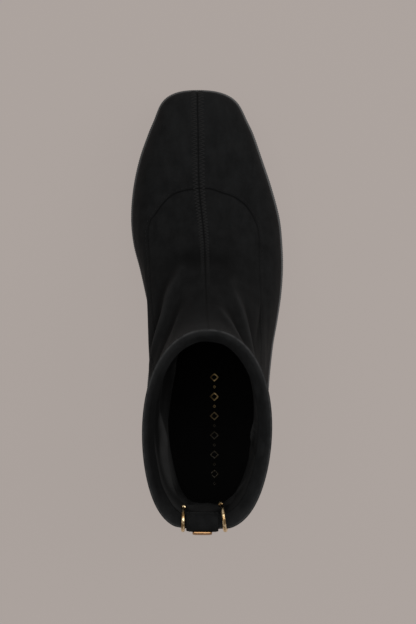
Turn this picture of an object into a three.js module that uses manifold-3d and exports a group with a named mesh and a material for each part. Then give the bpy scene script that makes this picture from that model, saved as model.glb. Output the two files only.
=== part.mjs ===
// Wedge ankle boot for the right foot. Millimetres, +Z up, toe towards +Y, outer side of the foot towards +X.
// The origin lies on the floor, under the middle of the sole.

import * as THREE from 'three';
import { mergeVertices } from 'three/addons/utils/BufferGeometryUtils.js';
import Module from 'manifold-3d';

const wasm = await Module();
wasm.setup();

// Driving sizes of the sole
const bootLength = 246; // back of the heel to the tip of the toe
const ballWidth = 87; // widest part of the forefoot
const heelWidth = 67; // widest part of the heel
const toeShift = 6; // the toe's tip lies this far towards the big toe
const toeRound = 16; // length of the blunt toe's end curve
const heelRound = 34; // length of the heel's end curve
const heelHeight = 55; // footbed above the floor at the heel
const platformHeight = 14; // footbed above the floor at the ball
const toeSpring = 7; // rise of the toe's tip
const waistLift = 2.5; // rise of the underside between heel and ball
const outsoleThickness = 4;
const outsoleBevel = 1.2; // slope at the outsole's lower edge
const outsoleProud = 0.6; // the outsole stands out past the wedge
const lipHeight = 3; // milled rand along the wedge's upper edge
const lipStep = 1.2; // the rand stands out past the wedge's side
const heelTaper = 4; // the wedge draws in this far from the rand to the floor at the heel
const edgeShow = 1.4; // strip of the rand that shows around the upper

// Driving sizes of the tread
const grooveWidth = 2.4;
const grooveDepth = 1.5;
const groovePitch = 9;
const forefootGrooves = 5;
const forefootGroovesFrom = 0.6; // share of the boot's length, from the heel
const heelGrooves = 4;
const heelGroovesFrom = 0.06;

// Driving sizes of the upper
const collarHeight = 187; // top edge above the floor
const collarWidth = 66;
const collarFront = 0.442; // share of the boot's length, from the heel
const collarBack = 0.03;
const collarShift = 1.8; // the collar's back lies this far towards the inner side
const ovalFullness = 0.91; // under 1 makes an oval squarer
const bluntBack = 0.28; // how much squarer the collar's back is
const wall = 1.6; // suede and lining together
const gap = 0.3; // clearance between pieces that touch

// Driving sizes of the small pieces
const insoleThickness = 2;
const facingDepth = 24; // turned hem inside the collar
const facingThickness = 1.2;
const facingPuff = 3.4; // the hem's lower part stands off the wall
const facingDrop = 0.5; // the hem ends this far below the top edge
const tabWidth = 16.5;
const tabThickness = 1.2;
const tabMiddle = -2.9; // sideways place of the pull tab
const tabLoop = 4.3; // radius of the tab's arch over the top edge
const tabOutside = 21; // length down the outside
const tabInside = 8; // length down the inside
const tabLean = 1.2; // the inside end leans back to the wall
const hoopWire = 1.9; // diameter of the gold wire
const hoopArchMedial = 5.3; // radius of each hoop over the top edge
const hoopArchLateral = 6.3;
const hoopSpread = 9.5; // distance of the hoops' inner ends from the tab's middle
const hoopSplayMedial = 0.5; // each hoop spreads this far to its outer end
const hoopSplayLateral = 3.2;
const hoopOutside = 10; // length of the leg outside
const hoopInside = 6; // length of the leg inside
const beadSize = 3.4; // bead at the inner end
const barWidth = 10;
const barLength = 14;
const barThickness = 1.2;
const barWrap = 0.65; // angle that the bar's upper end follows over the top edge

// How finely the surfaces are cut
const soleStations = 72;
const upperStations = 52;
const upperRings = 26;
const facingRings = 5;
const archSteps = 8; // spans of the half circle over the top edge
const barBends = 3;
const wireSteps = 18;
const wireSides = 8;
const beadSides = 10;
const halvings = 30; // how often a search halves its range

// Half widths of the sole on each side of its middle line, as shares of the width that they follow
const soleOutline = [
  { along: 0.0, of: heelWidth, medial: 0.463, lateral: 0.463 },
  { along: 0.1, of: heelWidth, medial: 0.487, lateral: 0.487 },
  { along: 0.2, of: heelWidth, medial: 0.502, lateral: 0.504 },
  { along: 0.3, of: heelWidth, medial: 0.507, lateral: 0.522 },
  { along: 0.4, of: ballWidth, medial: 0.363, lateral: 0.437 },
  { along: 0.46, of: ballWidth, medial: 0.362, lateral: 0.472 },
  { along: 0.52, of: ballWidth, medial: 0.393, lateral: 0.503 },
  { along: 0.58, of: ballWidth, medial: 0.428, lateral: 0.521 },
  { along: 0.64, of: ballWidth, medial: 0.467, lateral: 0.523 },
  { along: 0.7, of: ballWidth, medial: 0.478, lateral: 0.511 },
  { along: 0.77, of: ballWidth, medial: 0.457, lateral: 0.467 },
  { along: 0.84, of: ballWidth, medial: 0.407, lateral: 0.409 },
  { along: 0.9, of: ballWidth, medial: 0.34, lateral: 0.356 },
  { along: 0.95, of: ballWidth, medial: 0.278, lateral: 0.298 },
  { along: 1.0, of: ballWidth, medial: 0.262, lateral: 0.283 },
].map((row) => ({ along: row.along, medial: row.medial * row.of, lateral: row.lateral * row.of }));

// Share of the drop from heel to ball that is left at each place along the footbed
const footbedDrop = [
  { along: 0.0, left: 1.0 },
  { along: 0.1, left: 0.985 },
  { along: 0.2, left: 0.93 },
  { along: 0.3, left: 0.8 },
  { along: 0.4, left: 0.58 },
  { along: 0.5, left: 0.31 },
  { along: 0.58, left: 0.12 },
  { along: 0.66, left: 0.02 },
  { along: 0.74, left: 0.0 },
  { along: 1.0, left: 0.0 },
];

// Rings around the last, from the sole's edge up to the collar. Front and back are places along the boot, the
// rises are shares of the height from the footbed to the collar, and girth scales the sole's outline. Edge
// counts how many edge strips the ring lies inside the sole.
const lastRings = [
  { front: 1, frontRise: 0, back: 0, backRise: 0, girth: 1, edge: 1.6 },
  { front: 1, frontRise: 0.054, back: 0, backRise: 0.114, girth: 1, edge: 1 },
  { front: 0.988, frontRise: 0.107, back: 0.001, backRise: 0.22, girth: 0.965, edge: 0 },
  { front: 0.958, frontRise: 0.153, back: 0.005, backRise: 0.303, girth: 0.905, edge: 0 },
  { front: 0.9, frontRise: 0.184, back: 0.012, backRise: 0.371, girth: 0.83, edge: 0 },
  { front: 0.8, frontRise: 0.218, back: 0.02, backRise: 0.432, girth: 0.76, edge: 0 },
  { front: 0.7, frontRise: 0.27, back: 0.029, backRise: 0.5, girth: 0.72, edge: 0 },
  { front: 0.6, frontRise: 0.362, back: 0.036, backRise: 0.576, girth: 0.7, edge: 0 },
  { front: 0.52, frontRise: 0.475, back: 0.04, backRise: 0.659, girth: 0.7, edge: 0 },
  { front: 0.47, frontRise: 0.632, back: 0.04, backRise: 0.758, girth: 0.7, edge: 0 },
  { front: 0.449, frontRise: 0.822, back: 0.035, backRise: 0.879, girth: 0.7, edge: 0 },
  { front: collarFront, frontRise: 1, back: collarBack, backRise: 1, girth: 0.7, edge: 0 },
];

// The oval that each ring is mixed with, by the share mix. Half is its half width as a share of the collar's,
// its front follows the toe's shift by ridge, and blunt squares its back and shifts it.
const ringOvals = [
  { mix: 0, half: 1.19, ridge: 0, blunt: 0 },
  { mix: 0, half: 1.19, ridge: 0, blunt: 0 },
  { mix: 0, half: 1.19, ridge: 0, blunt: 0 },
  { mix: 0.12, half: 1.16, ridge: 0.9, blunt: 0 },
  { mix: 0.34, half: 1.1, ridge: 0.95, blunt: 0 },
  { mix: 0.6, half: 1.03, ridge: 0.93, blunt: 0 },
  { mix: 0.8, half: 0.99, ridge: 0.75, blunt: 0 },
  { mix: 0.95, half: 0.94, ridge: 0.5, blunt: 0 },
  { mix: 1, half: 0.91, ridge: 0.3, blunt: 0.05 },
  { mix: 1, half: 0.9, ridge: 0.17, blunt: 0.25 },
  { mix: 1, half: 0.945, ridge: 0.07, blunt: 0.65 },
  { mix: 1, half: 1, ridge: 0, blunt: 1 },
];

// Curves

// Smooth curve through the rows of a table: a cubic between neighbours, with the slope of the rows beside it
function curveThrough(rows, across, up) {
  const slopeAt = rows.map((row, i) => {
    const before = rows[Math.max(i - 1, 0)];
    const after = rows[Math.min(i + 1, rows.length - 1)];
    return (after[up] - before[up]) / (after[across] - before[across]);
  });
  return (x) => {
    let i = rows.findIndex((row) => row[across] > x) - 1;
    if (i < 0) i = x < rows[0][across] ? 0 : rows.length - 2;
    const step = rows[i + 1][across] - rows[i][across];
    const f = THREE.MathUtils.clamp((x - rows[i][across]) / step, 0, 1);
    const start = (1 + 2 * f) * (1 - f) ** 2 * rows[i][up] + f * (1 - f) ** 2 * step * slopeAt[i];
    const end = f * f * (3 - 2 * f) * rows[i + 1][up] + f * f * (f - 1) * step * slopeAt[i + 1];
    return start + end;
  };
}

const medialHalf = curveThrough(soleOutline, 'along', 'medial');
const lateralHalf = curveThrough(soleOutline, 'along', 'lateral');
const dropLeft = curveThrough(footbedDrop, 'along', 'left');

// Height over the floor of the toe's underside
function springAt(along) {
  const springStart = 0.74; // share of the boot's length, from the heel
  return toeSpring * Math.max(0, (along - springStart) / (1 - springStart)) ** 2;
}

function undersideAt(along) {
  const arch = { back: 0.26, front: 0.57 };
  const inArch = THREE.MathUtils.clamp((along - arch.back) / (arch.front - arch.back), 0, 1);
  return springAt(along) + waistLift * Math.sin(Math.PI * inArch) ** 2;
}

function footbedAt(along) {
  return springAt(along) + platformHeight + (heelHeight - platformHeight) * dropLeft(along);
}

// 1 in the middle of the sole, closing to 0 at the heel's back and the toe's tip as part of a superellipse
function endCurve(along) {
  const fromTip = (1 - along) * bootLength;
  const fromBack = along * bootLength;
  const bluntness = { toe: 2.5, heel: 2.2 };
  const curve = (distance, length, power) =>
    distance >= length ? 1 : Math.max(0, 1 - (1 - distance / length) ** power) ** (1 / power);
  return curve(fromTip, toeRound, bluntness.toe) * curve(fromBack, heelRound, bluntness.heel);
}

// Point of the sole's outline. The turn is 0 at the toe's tip and half a circle at the heel's back.
function outlineAt(turn) {
  const along = (1 + Math.cos(turn)) / 2;
  const middle = -toeShift * along ** 2;
  const half = Math.sin(turn) >= 0 ? lateralHalf(along) : -medialHalf(along);
  return new THREE.Vector2(middle + half * endCurve(along), along * bootLength);
}

// The same point moved in square to the outline
function insetOutline(turn, inset) {
  const ahead = outlineAt(turn + 0.01);
  const behind = outlineAt(turn - 0.01);
  const across = ahead.sub(behind).normalize();
  return outlineAt(turn).add(new THREE.Vector2(across.y, -across.x).multiplyScalar(inset));
}

// Solids from rings of points

function turnsAround(count) {
  return Array.from({ length: count }, (_, i) => (2 * Math.PI * i) / count);
}

function geometryFrom(points, faces) {
  const geometry = new THREE.BufferGeometry();
  const coordinates = points.flatMap((point) => [point.x, point.y, point.z]);
  geometry.setAttribute('position', new THREE.Float32BufferAttribute(coordinates, 3));
  geometry.setIndex(faces);
  return geometry;
}

// Side faces between neighbouring rings. Rings run anticlockwise seen from above and go up the outside.
function bandFaces(ringCount, count, closed) {
  const faces = [];
  const bands = closed ? ringCount : ringCount - 1;
  for (let k = 0; k < bands; k += 1) {
    const low = k * count;
    const high = ((k + 1) % ringCount) * count;
    for (let i = 0; i < count; i += 1) {
      const j = (i + 1) % count;
      faces.push(low + i, low + j, high + j, low + i, high + j, high + i);
    }
  }
  return faces;
}

// A lid across a ring, in rungs that join points at the same place along the boot
function lidFaces(first, count, up) {
  const faces = [];
  for (let i = 0; i < count / 2; i += 1) {
    const a = first + i;
    const b = first + i + 1;
    const c = first + ((count - i - 1) % count);
    const d = first + ((count - i) % count);
    const rungs = [];
    if (b !== c) rungs.push([a, b, c]);
    if (a !== d) rungs.push([a, c, d]);
    rungs.forEach(([p, q, r]) => faces.push(...(up ? [p, q, r] : [p, r, q])));
  }
  return faces;
}

function solidStack(rings) {
  const count = rings[0].length;
  const lastFirst = (rings.length - 1) * count;
  const faces = [
    ...bandFaces(rings.length, count, false),
    ...lidFaces(0, count, false),
    ...lidFaces(lastFirst, count, true),
  ];
  return geometryFrom(rings.flat(), faces);
}

function hollowStack(outside, inside) {
  const rings = [...outside, ...inside.slice().reverse()];
  return geometryFrom(rings.flat(), bandFaces(rings.length, rings[0].length, true));
}

// The outline turns clockwise seen from above, from the toe over the outer side, so a ring takes it backwards
function ringOf(count, place) {
  return turnsAround(count).map((turn) => place(-turn));
}

// Booleans

function toManifold(geometry) {
  const bare = geometry.clone();
  bare.deleteAttribute('normal');
  bare.deleteAttribute('uv');
  const merged = mergeVertices(bare, 1e-4);
  const mesh = new wasm.Mesh({
    numProp: 3,
    vertProperties: merged.attributes.position.array,
    triVerts: new Uint32Array(merged.index.array),
  });
  return new wasm.Manifold(mesh);
}

function fromManifold(solid) {
  const mesh = solid.getMesh();
  const geometry = new THREE.BufferGeometry();
  geometry.setAttribute('position', new THREE.BufferAttribute(mesh.vertProperties, 3));
  geometry.setIndex(new THREE.BufferAttribute(mesh.triVerts, 1));
  return geometry;
}

// Sole

function taperAt(along) {
  return (heelTaper * (footbedAt(along) - platformHeight)) / (heelHeight - platformHeight);
}

function soleRing(inset, height) {
  return ringOf(soleStations, (turn) => {
    const along = (1 + Math.cos(turn)) / 2;
    const point = insetOutline(turn, inset(along));
    return new THREE.Vector3(point.x, point.y, height(along));
  });
}

function makeWedge() {
  const bottom = (along) => undersideAt(along) + outsoleThickness + gap;
  const lipBottom = (along) => footbedAt(along) - lipHeight;
  const drawn = (along) => lipStep + taperAt(along);
  const halfDrawn = (along) => lipStep + taperAt(along) / 2;
  const middle = (along) => (bottom(along) + lipBottom(along)) / 2;
  const lipCorner = 0.4;
  return solidStack([
    soleRing(drawn, bottom),
    soleRing(halfDrawn, middle),
    soleRing(() => lipStep, lipBottom),
    soleRing(() => 0, (along) => lipBottom(along) + lipCorner),
    soleRing(() => 0, (along) => footbedAt(along) - lipCorner),
    soleRing(() => lipCorner, footbedAt),
  ]);
}

function grooveCutter(along) {
  const overWidth = ballWidth * 1.2; // past both sides of the sole
  const cutter = new THREE.BoxGeometry(overWidth, grooveWidth, grooveDepth * 2);
  cutter.translate(0, along * bootLength, undersideAt(along));
  return toManifold(cutter);
}

function makeOutsole() {
  const proud = (along) => lipStep + taperAt(along) - outsoleProud;
  const top = (along) => undersideAt(along) + outsoleThickness;
  let solid = toManifold(
    solidStack([
      soleRing((along) => proud(along) + outsoleBevel, undersideAt),
      soleRing(proud, (along) => undersideAt(along) + outsoleBevel),
      soleRing(proud, top),
    ]),
  );
  const runs = [
    { first: heelGroovesFrom, count: heelGrooves },
    { first: forefootGroovesFrom, count: forefootGrooves },
  ];
  runs.forEach((run) => {
    for (let i = 0; i < run.count; i += 1) {
      solid = solid.subtract(grooveCutter(run.first + (i * groovePitch) / bootLength));
    }
  });
  return fromManifold(solid);
}

function makeInsole() {
  const inset = () => edgeShow * lastRings[0].edge + wall + 2 * gap;
  const edgeEase = 0.5;
  const bottom = (along) => footbedAt(along) + gap;
  return solidStack([
    soleRing(inset, bottom),
    soleRing(inset, (along) => bottom(along) + insoleThickness - edgeEase),
    soleRing(() => inset() + edgeEase, (along) => bottom(along) + insoleThickness),
  ]);
}

// Upper

const ringRows = lastRings.map((row, step) => {
  const inset = row.edge * edgeShow;
  const oval = ringOvals[step];
  return {
    step,
    front: row.front - inset / bootLength,
    back: row.back + inset / bootLength,
    frontRise: row.frontRise,
    backRise: row.backRise,
    girth: row.girth - (2 * inset) / ballWidth,
    mix: oval.mix,
    half: (oval.half * collarWidth) / 2,
    ridge: -oval.ridge * toeShift,
    blunt: oval.blunt,
  };
});
const ringColumns = Object.keys(ringRows[0]).filter((name) => name !== 'step');
const ringCurves = {};
ringColumns.forEach((name) => {
  ringCurves[name] = curveThrough(ringRows, 'step', name);
});

// Point of the last's surface: turn goes around it and rise goes from 0 at the sole's edge to 1 at the collar
function lastPoint(turn, rise) {
  const step = rise * (ringRows.length - 1);
  const ring = Object.fromEntries(ringColumns.map((name) => [name, ringCurves[name](step)]));
  const share = (1 + Math.cos(turn)) / 2;
  const along = ring.back + (ring.front - ring.back) * share;
  const fullness = ovalFullness - bluntBack * ring.blunt * (1 - share);
  const sideways = Math.sign(Math.sin(turn)) * Math.abs(Math.sin(turn)) ** fullness;
  const oval = ring.half * sideways + ring.ridge * share ** 2 - collarShift * ring.blunt * (1 - share) ** 2;
  const x = (1 - ring.mix) * outlineAt(turn).x * ring.girth + ring.mix * oval;
  const risen = ring.backRise + (ring.frontRise - ring.backRise) * share;
  const footbed = footbedAt(along);
  return new THREE.Vector3(x, along * bootLength, footbed + gap + risen * (collarHeight - footbed - gap));
}

// The same point moved in square to the surface. The open edges keep their height.
function insidePoint(turn, rise, depth) {
  const small = 0.004;
  const around = lastPoint(turn + small, rise).sub(lastPoint(turn - small, rise));
  const upward = lastPoint(turn, Math.min(rise + small, 1)).sub(lastPoint(turn, Math.max(rise - small, 0)));
  const outward = upward.cross(around).normalize();
  const point = lastPoint(turn, rise);
  const moved = point.clone().addScaledVector(outward, -depth);
  if (rise === 0 || rise === 1) moved.z = point.z;
  return moved;
}

function upperRingsAt(depth, from, to, count) {
  return Array.from({ length: count + 1 }, (_, k) => {
    const rise = from + ((to - from) * k) / count;
    return ringOf(upperStations, (turn) => insidePoint(turn, rise, depth));
  });
}

function makeUpper() {
  return hollowStack(upperRingsAt(0, 0, 1, upperRings), upperRingsAt(wall, 0, 1, upperRings));
}

// The rise at which the last reaches a height, found by halving
function riseForHeight(turn, height) {
  let low = 0;
  let high = 1;
  for (let i = 0; i < halvings; i += 1) {
    const middle = (low + high) / 2;
    if (lastPoint(turn, middle).z < height) low = middle;
    else high = middle;
  }
  return (low + high) / 2;
}

// Place of the outside of the back wall at a sideways place and a height, found by halving
function backWallAt(x, height) {
  const reach = 1;
  let low = Math.PI - reach;
  let high = Math.PI + reach;
  const level = Math.min(height, collarHeight);
  const pointAt = (turn) => lastPoint(turn, riseForHeight(turn, level));
  for (let i = 0; i < halvings; i += 1) {
    const middle = (low + high) / 2;
    if (pointAt(middle).x > x) low = middle;
    else high = middle;
  }
  return pointAt((low + high) / 2).y;
}

// Collar's hem, turned in: it starts under the top edge and stands off the wall lower down
function makeFacing() {
  const outer = wall + gap;
  const puffReach = 1.3; // the hem stands off most at this share of its depth, halved
  const ringAt = (drop, depth) =>
    ringOf(upperStations, (turn) => {
      const height = collarHeight - facingDrop - drop;
      const point = insidePoint(turn, riseForHeight(turn, height), depth);
      return new THREE.Vector3(point.x, point.y, height);
    });
  const drops = Array.from({ length: facingRings + 1 }, (_, k) => facingDepth * (1 - k / facingRings));
  const puffAt = (drop) => facingPuff * Math.sin((Math.PI * drop) / (facingDepth * puffReach)) ** 2;
  const outside = drops.map((drop) => ringAt(drop, outer));
  const inside = drops.map((drop) => ringAt(drop, outer + facingThickness + puffAt(drop)));
  return hollowStack(outside, inside);
}

// Pieces over the collar's back. A path's points are measured out from the back wall and up from the floor.

// Straight leg inside, half circle over the top edge, straight leg outside
function archPath(outside, radius, insideLength, outsideLength, lean) {
  const centre = outside - radius;
  const path = [
    new THREE.Vector2(centre - radius + lean, collarHeight - insideLength),
    new THREE.Vector2(centre - radius + lean / 4, collarHeight - insideLength / 2),
  ];
  for (let k = 0; k <= archSteps; k += 1) {
    const angle = Math.PI * (1 - k / archSteps);
    path.push(new THREE.Vector2(centre + radius * Math.cos(angle), collarHeight + radius * Math.sin(angle)));
  }
  path.push(new THREE.Vector2(outside, collarHeight - outsideLength / 2));
  path.push(new THREE.Vector2(outside, collarHeight - outsideLength));
  return path;
}

// A flat strip along a path, bowed across to follow the back wall
function bowedStrip(path, middle, width, thickness) {
  const cells = 4;
  const across = Array.from({ length: cells + 1 }, (_, j) => middle + width * (0.5 - j / cells));
  const pointAt = (x, spot) => new THREE.Vector3(x, backWallAt(x, spot.y) - spot.x, spot.y);
  const rings = path.map((spot, k) => {
    const ahead = path[Math.min(k + 1, path.length - 1)];
    const behind = path[Math.max(k - 1, 0)];
    const way = ahead.clone().sub(behind).normalize();
    const half = new THREE.Vector2(-way.y, way.x).multiplyScalar(thickness / 2);
    const over = across.map((x) => pointAt(x, spot.clone().add(half)));
    const under = across.slice().reverse().map((x) => pointAt(x, spot.clone().sub(half)));
    return [...over, ...under];
  });
  return solidStack(rings);
}

function makePullTab() {
  const outside = gap + tabThickness / 2;
  const path = archPath(outside, tabLoop, tabInside, tabOutside, tabLean);
  return bowedStrip(path, tabMiddle, tabWidth, tabThickness);
}

// Up the tab's outside, then bent with the tab's arch
function makeBackBar() {
  const centre = gap + tabThickness / 2 - tabLoop;
  const radius = tabLoop + tabThickness / 2 + gap + barThickness / 2;
  const leg = barLength - radius * barWrap;
  const path = [leg, leg / 2].map((drop) => new THREE.Vector2(centre + radius, collarHeight - drop));
  for (let k = 0; k <= barBends; k += 1) {
    const angle = (barWrap * k) / barBends;
    path.push(new THREE.Vector2(centre + radius * Math.cos(angle), collarHeight + radius * Math.sin(angle)));
  }
  return bowedStrip(path, tabMiddle, barWidth, barThickness);
}

// Round wire over the top edge, with a bead at its inner end
function makeHoop(side, arch, splay) {
  const outside = gap + hoopWire / 2;
  const path = archPath(outside, arch, hoopInside, hoopOutside, 0);
  const spots = path.map((spot, k) => {
    const x = tabMiddle + side * (hoopSpread + (splay * k) / (path.length - 1));
    return new THREE.Vector3(x, backWallAt(x, spot.y) - spot.x, spot.y);
  });
  const circle = new THREE.Shape().absarc(0, 0, hoopWire / 2, 0, 2 * Math.PI);
  const wire = new THREE.ExtrudeGeometry(circle, {
    steps: wireSteps,
    curveSegments: wireSides,
    extrudePath: new THREE.CatmullRomCurve3(spots),
  });
  const bead = new THREE.SphereGeometry(beadSize / 2, beadSides, wireSides);
  bead.translate(spots[0].x, spots[0].y, spots[0].z);
  return fromManifold(toManifold(wire).add(toManifold(bead)));
}

// Colours

const suede = new THREE.MeshStandardMaterial({ color: 0x141314, roughness: 0.95, metalness: 0 });
const rubber = new THREE.MeshStandardMaterial({ color: 0x2a2a2b, roughness: 0.7, metalness: 0 });
const sockCloth = new THREE.MeshStandardMaterial({ color: 0x0d0c0d, roughness: 0.8, metalness: 0 });
const gold = new THREE.MeshStandardMaterial({ color: 0xd9b98c, roughness: 0.25, metalness: 1 });

// Boot

const boot = new THREE.Group();

function addPiece(name, geometry, material) {
  const mesh = new THREE.Mesh(geometry, material);
  mesh.name = name;
  boot.add(mesh);
}

addPiece('outsole', makeOutsole(), rubber);
addPiece('wedge', makeWedge(), rubber);
addPiece('insole', makeInsole(), sockCloth);
addPiece('upper', makeUpper(), suede);
addPiece('collar_facing', makeFacing(), suede);
addPiece('pull_tab', makePullTab(), suede);
addPiece('hoop_medial', makeHoop(-1, hoopArchMedial, hoopSplayMedial), gold);
addPiece('hoop_lateral', makeHoop(1, hoopArchLateral, hoopSplayLateral), gold);
addPiece('back_bar', makeBackBar(), gold);

// The boot stands with the middle of its sole over the origin
const edgePoints = turnsAround(soleStations).map((turn) => outlineAt(turn).x);
const soleMiddle = (Math.min(...edgePoints) + Math.max(...edgePoints)) / 2;
boot.position.set(-soleMiddle, -bootLength / 2, 0);

export default boot;
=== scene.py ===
from math import cos, pi, sin

import bpy
import numpy as np
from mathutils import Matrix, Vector


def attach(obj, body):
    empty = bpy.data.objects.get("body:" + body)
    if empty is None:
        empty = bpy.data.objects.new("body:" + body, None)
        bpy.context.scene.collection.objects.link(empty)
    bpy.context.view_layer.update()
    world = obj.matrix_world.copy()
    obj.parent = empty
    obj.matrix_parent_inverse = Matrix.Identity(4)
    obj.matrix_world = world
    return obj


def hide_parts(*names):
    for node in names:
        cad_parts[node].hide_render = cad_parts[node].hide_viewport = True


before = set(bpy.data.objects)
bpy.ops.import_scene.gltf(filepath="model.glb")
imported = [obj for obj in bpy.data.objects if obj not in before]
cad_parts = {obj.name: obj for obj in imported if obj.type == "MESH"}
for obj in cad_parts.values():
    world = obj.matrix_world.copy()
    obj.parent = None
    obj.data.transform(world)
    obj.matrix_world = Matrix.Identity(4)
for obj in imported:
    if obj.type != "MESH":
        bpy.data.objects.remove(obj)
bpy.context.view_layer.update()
mm = 0.001
print("frame loaded, nodes:", ", ".join(sorted(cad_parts)))

# All sizes below are in mm. The boot stands on the floor, toe towards +Y, outer side towards +X.

# Camera: straight above the boot, toe up in the picture
camera = dict(place=(0.6, -4.75, 1500.0), lens=148.43, sensor=36.0)

cameraData = bpy.data.cameras.new("camera")
cameraData.sensor_width = camera["sensor"]
cameraData.lens = camera["lens"]
cameraData.clip_end = 20
cameraObject = bpy.data.objects.new("camera", cameraData)
cameraObject.location = [value * mm for value in camera["place"]]
bpy.context.collection.objects.link(cameraObject)
bpy.context.scene.camera = cameraObject
print("camera set")


# Shader maths: a Wire is one socket of a material, and sums on wires add their Math nodes

class Wire:
    def __init__(self, board, socket):
        self.board = board
        self.socket = socket

    def math(self, operation, *values):
        return self.board.node("ShaderNodeMath", dict(operation=operation), values)

    def __add__(self, other):
        return self.math("ADD", self, other)

    __radd__ = __add__

    def __sub__(self, other):
        return self.math("SUBTRACT", self, other)

    def __rsub__(self, other):
        return self.math("SUBTRACT", other, self)

    def __mul__(self, other):
        return self.math("MULTIPLY", self, other)

    __rmul__ = __mul__

    def __truediv__(self, other):
        return self.math("DIVIDE", self, other)

    def __pow__(self, other):
        return self.math("POWER", self, other)

    def size(self):
        return self.math("ABSOLUTE", self)

    def least(self, other):
        return self.math("MINIMUM", self, other)

    def most(self, other):
        return self.math("MAXIMUM", self, other)

    def wave(self):
        return self.math("SINE", self)

    # 1 on the line where the wire is 0, falling to 0 over the width on both sides
    def line(self, width):
        return self.math("EXPONENT", (self / width) ** 2 * -1)

    # 0 below start, 1 above end, smooth between
    def rampUp(self, start, end):
        kind = dict(interpolation_type="SMOOTHSTEP")
        return self.board.node("ShaderNodeMapRange", kind, {0: self, 1: start, 2: end, 3: 0.0, 4: 1.0})


class Board:
    def __init__(self, name):
        self.material = bpy.data.materials.new(name)
        self.material.use_nodes = True
        self.tree = self.material.node_tree
        self.tree.nodes.clear()

    # A node by its type: settings first, then the values or wires of its sockets
    def node(self, kind, settings=None, sockets=(), output=0):
        made = self.tree.nodes.new(kind)
        for name, value in (settings or {}).items():
            setattr(made, name, value)
        pairs = sockets.items() if isinstance(sockets, dict) else enumerate(sockets)
        for place, value in pairs:
            if isinstance(value, Wire):
                self.tree.links.new(value.socket, made.inputs[place])
            else:
                made.inputs[place].default_value = value
        return Wire(self, made.outputs[output]) if len(made.outputs) else None

    def place(self):
        return self.node("ShaderNodeTexCoord", output="Object")

    def attribute(self, name):
        return self.node("ShaderNodeAttribute", dict(attribute_name=name), output="Fac")

    def noise(self, place, scale, detail=3.0, roughness=0.55):
        return self.node("ShaderNodeTexNoise", None,
                         {"Vector": place, "Scale": scale, "Detail": detail, "Roughness": roughness})

    def stretched(self, place, scale):
        return self.node("ShaderNodeMapping", None, {"Vector": place, "Scale": scale})

    def mixed(self, share, first, second):
        return self.node("ShaderNodeMix", dict(data_type="RGBA"), {0: share, 6: first, 7: second}, 2)

    def bump(self, height, distance, strength=1.0, under=None):
        sockets = {"Height": height, "Distance": distance * mm, "Strength": strength}
        if under is not None:
            sockets["Normal"] = under
        return self.node("ShaderNodeBump", None, sockets)

    def finish(self, sockets):
        surface = self.node("ShaderNodeBsdfPrincipled", None, sockets)
        self.node("ShaderNodeOutputMaterial", None, {"Surface": surface})
        return self.material


def grey(value, warm=0.0):
    return (value * (1 + warm), value, value * (1 - warm), 1.0)


# Materials

suedeLook = dict(dark=0.0041, light=0.0082, patches=120, nap=900, sheen=0.020, sheenRough=0.5,
                 sheenTint=(0.60, 0.61, 0.62), seamWidth=0.45, seamDepth=0.35)


def suedeMaterial(name, seams, dark, light, hemmed=False):
    board = Board(name)
    place = board.place()
    patches = board.noise(place, suedeLook["patches"], 4, 0.6)
    brushed = board.noise(board.stretched(place, (1.0, 0.35, 0.35)), suedeLook["nap"] / 3, 3)
    nap = board.noise(place, suedeLook["nap"], 2, 0.7)
    fine = board.noise(place, suedeLook["nap"] * 3.3, 2, 0.7)
    tone = (patches.rampUp(0.32, 0.68) * 0.48 + brushed.rampUp(0.36, 0.64) * 0.27
            + nap.rampUp(0.36, 0.64) * 0.25)
    height = nap * 0.6 + fine * 0.4
    bump = board.bump(height, 0.16, 0.7)
    if seams:
        # Painted light: painted highlight where this attribute is above 0, painted shade where it is below 0
        paintedLight = board.attribute("paintedLight")
        tone = tone + paintedLight * 1.2
        centre = board.attribute("centreOff")
        arch = board.attribute("archOff")
        held = board.attribute("seamHeld")
        puff = (arch.size() - 1.4).line(0.9) * 0.25 * held
        groove = (centre.line(suedeLook["seamWidth"]) * 0.7).most(arch.line(suedeLook["seamWidth"]) * held)
        bump = board.bump(puff - groove, suedeLook["seamDepth"], 1.0, bump)
        tone = tone * (1 - groove * 0.8)
    palest = dark + (light - dark) * 2.2
    colour = board.mixed(tone.least(2.2) / 2.2, grey(dark, -0.02), grey(palest, -0.02))
    if seams:
        # Painted shade in the troughs of the creases, together with the darker seam grooves
        shaded = (board.attribute("paintedShade") * 0.85).most(groove * 0.75)
        colour = board.mixed(shaded, colour, grey(dark * 0.25))
    if hemmed:
        # Painted highlight along the crest of the fold over the top edge, and painted shade on its inner
        # slope
        patchy = board.noise(place, 380, 3).rampUp(0.35, 0.62)
        colour = board.mixed(board.attribute("fold") * (0.45 + patchy * 0.55), colour, grey(light * 2.3))
        colour = board.mixed(board.attribute("slope") * 0.8, colour, grey(dark * 0.25))
    sheen = suedeLook["sheen"] * (0.35 if hemmed else 1)
    return board.finish({
        "Base Color": colour, "Roughness": 0.72 + nap * 0.2, "Normal": bump, "Specular IOR Level": 0.05,
        "Sheen Weight": sheen, "Sheen Roughness": suedeLook["sheenRough"],
        "Sheen Tint": (*suedeLook["sheenTint"], 1.0)})


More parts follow.
